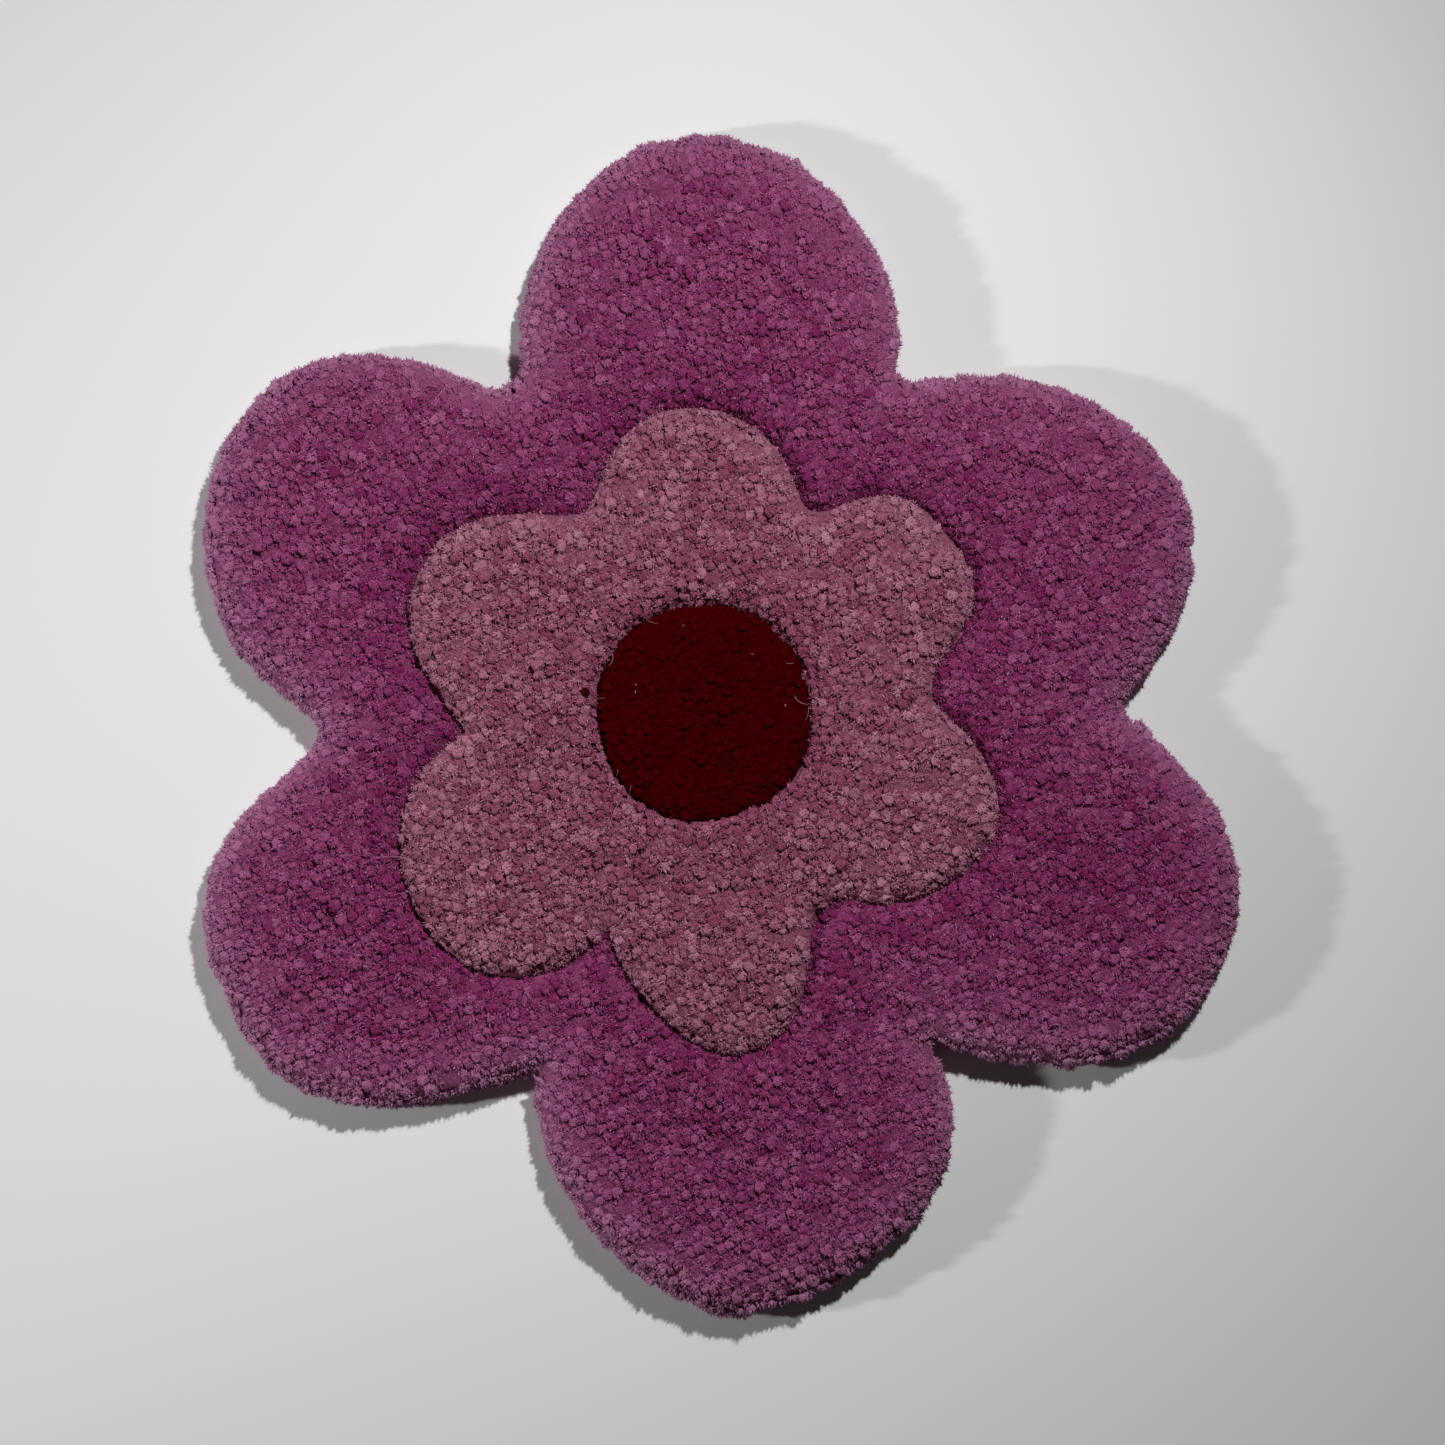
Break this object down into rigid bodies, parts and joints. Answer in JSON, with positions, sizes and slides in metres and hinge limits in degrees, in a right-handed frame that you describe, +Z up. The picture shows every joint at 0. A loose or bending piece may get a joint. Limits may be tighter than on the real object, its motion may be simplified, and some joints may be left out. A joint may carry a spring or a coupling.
{
  "type": "tufted rug",
  "caption": "Flower-shaped tufted rug with a thick cut pile, a smaller flower and a round centre in other yarn colours, and carved grooves between the colours.",
  "frame": {"origin": "the flower's centre, under the round middle, on the flat underside of the tufting cloth", "axes": "+Z up through the pile, +Y towards the top petal along the rug's longest side, +X to the right when the pile is seen from above"},
  "size_m": [0.3947, 0.449, 0.0183],
  "materials": {
    "tufting_cloth": "matt plain weave, stiffened with latex",
    "magenta_yarn": "matt cut pile, two-strand woollen yarn",
    "pink_yarn": "matt cut pile, two-strand woollen yarn",
    "crimson_yarn": "matt cut pile, two-strand woollen yarn"
  },
  "bodies": {
    "root": {"ground_cloth": "tufting_cloth", "outer_pile": "magenta_yarn", "inner_pile": "pink_yarn", "centre_pile": "crimson_yarn"}
  },
  "joints": []
}
